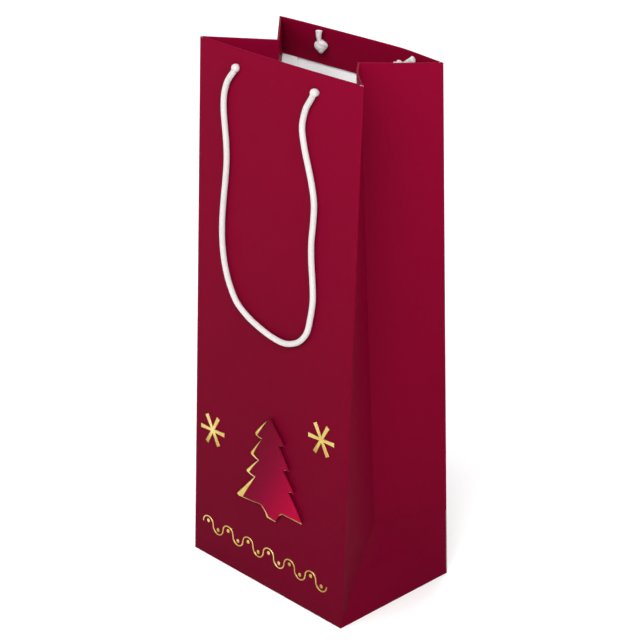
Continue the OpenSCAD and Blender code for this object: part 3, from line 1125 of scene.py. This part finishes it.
# Corners of the tree's magenta face, clockwise from its tip: sideways place and height in
# millimetres, and how far the edge that follows bulges out of the shape.
TREE_FACE = [
    (2, 114.6, 0.4), (15.9, 100.2, -0.9), (10.6, 99.2, 0.3), (19.8, 86, -0.9), (15, 84.6, 0.3),
    (24.5, 72.9, -0.8), (19.6, 72.5, 0.4), (31.7, 56.8, 0), (15, 56.4, 0), (12.3, 54.6, 0),
    (9.4, 49.1, 0), (3, 49.9, -0.4), (-0.9, 53.9, -0.4), (-4.2, 55.6, 0.2), (-19.9, 54.5, 0.2),
    (-9, 72, 0.3), (-14.5, 73.2, 0.3), (-6, 84.2, 0.3), (-11.2, 86.6, 0.2), (-3.6, 99.3, 0.3),
    (-8.1, 100, 0.2),
]
# Corners of the gold backing, which shows past the face's left side as tapered bands.
TREE_BACKING = [
    (2, 114.2, 0), (14, 101, 0), (10, 98.6, 0), (18, 86.4, 0), (14.4, 84, 0), (22.6, 73.4, 0),
    (19, 71.9, 0), (31.3, 55.8, 0), (14.6, 55.7, 0), (11.8, 53.6, 0), (8.8, 48.3, 0),
    (1.2, 48.5, -0.6), (-2.7, 53.6, -0.5), (-5.4, 54.9, 0.2), (-22.6, 53.4, 0.5), (-25.6, 54.4, 0),
    (-10.4, 71.1, 0.3), (-16.6, 72.2, 0.3), (-17.3, 73.4, 0.2), (-7.3, 83.4, 0.3),
    (-13.2, 85, 0.3), (-13.8, 86.4, 0.2), (-4.5, 98.4, 0.3), (-9.4, 99.1, 0.3), (-10.2, 100.8, 0.3),
]
ARC_STEPS = 6


def with_arcs(corners):
    """The outline in metres through the corners, with each bulging edge as an arc."""
    points = []
    for (x, z, bulge), (next_x, next_z, _) in zip(corners, corners[1:] + corners[:1]):
        start, way = Vector((x, z)), Vector((next_x - x, next_z - z))
        outwards = Vector((-way.y, way.x)).normalized()
        steps = ARC_STEPS if bulge else 1
        for k in range(steps):
            share = k / steps
            points.append((start + way * share + outwards * bulge * 4 * share * (1 - share)) * MM)
    return points


place_card_shape(
    "tree_gold", with_arcs(TREE_BACKING), PAD_T, BACKING_T, 0.12 * MM,
    GOLD, "tree_backing",
)
place_card_shape(
    "tree_red", with_arcs(TREE_FACE), PAD_T + BACKING_T, FACE_T, 0.15 * MM,
    TREE_CARD, "tree_face",
)


STAR_W = 21.4 * MM
STAR_T = 0.5 * MM
STAR_TURN = 1.5                     # degrees that the first ray points above level


def star_outline(x, z):
    """Six rays that widen towards their square ends."""
    half, root, end = STAR_W / 2, STAR_W / 21, STAR_W / 15
    corners = []
    for k in range(6):
        turn = math.radians(STAR_TURN + 60 * k)
        for along, across, extra in ((half, -end, 0), (half, end, 0), (2 * root, 0, math.pi / 6)):
            angle = turn + extra
            corners.append((
                x + along * math.cos(angle) - across * math.sin(angle),
                z + along * math.sin(angle) + across * math.cos(angle),
            ))
    return corners


def make_star(node, x, z):
    place_card_shape(
        node + "_foil", star_outline(x, z), 0, STAR_T, 0.18 * MM, GOLD, node
    )


make_star("left_star", -50 * MM, 87.5 * MM)
make_star("right_star", 44.5 * MM, 115.6 * MM)


# ---- Foil border ----

BORDER_WAVES = 12
WAVE_STEPS = 18
BORDER_LINE = 0.9 * MM
BORDER_T = 0.3 * MM
SINK = 0.02 * MM                    # the foil's edges reach this far into the paper
RIDGE_SIDES = 7
DOME_SIDES, DOME_ROWS = 28, 5
BORDER_X, BORDER_Z, BORDER_W = -2.5 * MM, 22.5 * MM, 111 * MM


def add_ridge(bm, points, width, height):
    """A line of raised foil with a rounded back, along (x, height) points on the front."""
    rings = []
    for i, (x, z) in enumerate(points):
        before, after = points[max(i - 1, 0)], points[min(i + 1, len(points) - 1)]
        way = Vector((after[0] - before[0], after[1] - before[1])).normalized()
        ring = []
        for k in range(RIDGE_SIDES):
            angle = math.pi * k / (RIDGE_SIDES - 1)
            side = -math.cos(angle) * width / 2
            ring.append(bm.verts.new(on_bowed_front(
                x + way.y * side, z - way.x * side, height * math.sin(angle) - SINK
            )))
        rings.append(ring)
    for low, high in zip(rings, rings[1:]):
        for k in range(RIDGE_SIDES):
            j = (k + 1) % RIDGE_SIDES
            bm.faces.new([low[k], low[j], high[j], high[k]])
    bm.faces.new(rings[0])
    bm.faces.new(list(reversed(rings[-1])))


def round_outline(x, z, radius):
    turns = [2 * math.pi * k / DOME_SIDES for k in range(DOME_SIDES)]
    return [(x + radius * math.cos(turn), z + radius * math.sin(turn)) for turn in turns]


def add_dome(bm, x, z, radius, height):
    """A raised foil dot."""
    rows = []
    for k in range(DOME_ROWS):
        angle = math.pi / 2 * k / DOME_ROWS
        rows.append([
            bm.verts.new(on_bowed_front(px, pz, height * math.sin(angle) - SINK))
            for px, pz in round_outline(x, z, radius * math.cos(angle))
        ])
    tip = bm.verts.new(on_bowed_front(x, z, height))
    for low, high in zip(rows, rows[1:]):
        for k in range(DOME_SIDES):
            j = (k + 1) % DOME_SIDES
            bm.faces.new([low[k], low[j], high[j], high[k]])
    for k in range(DOME_SIDES):
        bm.faces.new([rows[-1][k], rows[-1][(k + 1) % DOME_SIDES], tip])
    bm.faces.new(list(reversed(rows[0])))


def make_border():
    pitch = BORDER_W / BORDER_WAVES
    radius = pitch / 2
    bm = bmesh.new()
    wave = []
    for i in range(BORDER_WAVES):
        x = BORDER_X - BORDER_W / 2 + pitch * (i + 0.5)
        up = 1 if i % 2 == 0 else -1
        for k in range(WAVE_STEPS):
            angle = math.pi * (1 - k / WAVE_STEPS)
            wave.append((x + radius * math.cos(angle), BORDER_Z + up * radius * math.sin(angle)))
        add_dome(bm, x, BORDER_Z + up * radius / 3, radius / 4 + 0.1 * MM, BORDER_T)
    wave.append((BORDER_X + BORDER_W / 2, BORDER_Z))
    add_ridge(bm, wave, BORDER_LINE, BORDER_T)
    bmesh.ops.recalc_face_normals(bm, faces=bm.faces)
    piece = place_mesh("foil_waves", bm, [GOLD], math.radians(60))
    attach(piece, "base")
    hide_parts("foil_border")


make_border()


# ---- CAD pieces that stay ----

def finish_node(node, material):
    piece = frame["nodes"][node]
    piece.data.materials.clear()
    piece.data.materials.append(material)


finish_node("tree_pads", FOAM)
finish_node("seam_flap", REVERSE)


# ---- Floor and light ----

FLOOR_HALF_W = 6
BAG_MIDDLE = (0, 0, 0.16)


def make_floor():
    bm = bmesh.new()
    bmesh.ops.create_grid(bm, x_segments=8, y_segments=8, size=FLOOR_HALF_W)
    material, tree, shader, place = new_material("floor", Roughness=0.9)
    tone = noise_at(tree, place, 3.0, 2.0)
    tree.links.new(
        colour_ramp(tree, tone, (0.3, grey(0.93)), (0.7, grey(0.95))), shader.inputs["Base Color"]
    )
    floor = place_mesh("floor", bm, [material])


def add_light(name, place, aim, size, power):
    light = bpy.data.lights.new(name, "AREA")
    light.shape = "DISK"
    light.size = size
    light.energy = power
    lamp = bpy.data.objects.new(name, light)
    bpy.context.scene.collection.objects.link(lamp)
    lamp.location = place
    lamp.rotation_euler = (Vector(aim) - Vector(place)).to_track_quat("-Z", "Y").to_euler()


make_floor()
world = bpy.data.worlds.new("studio")
bpy.context.scene.world = world
world.use_nodes = True
world.node_tree.nodes["Background"].inputs["Color"].default_value = (1, 1, 1, 1)
world.node_tree.nodes["Background"].inputs["Strength"].default_value = 0.5
add_light("key", (-0.5, -1.8, 1.6), BAG_MIDDLE, 1.2, 16)
add_light("fill", (1.9, -0.5, 1.4), BAG_MIDDLE, 1.4, 28)
add_light("overhead", (0.8, -1.3, 2.0), BAG_MIDDLE, 1.0, 30)
add_light("behind", (-1.1, 1.7, 1.8), (-0.3, 0.3, 0.1), 1.5, 26)
bpy.context.scene.view_settings.view_transform = "Standard"
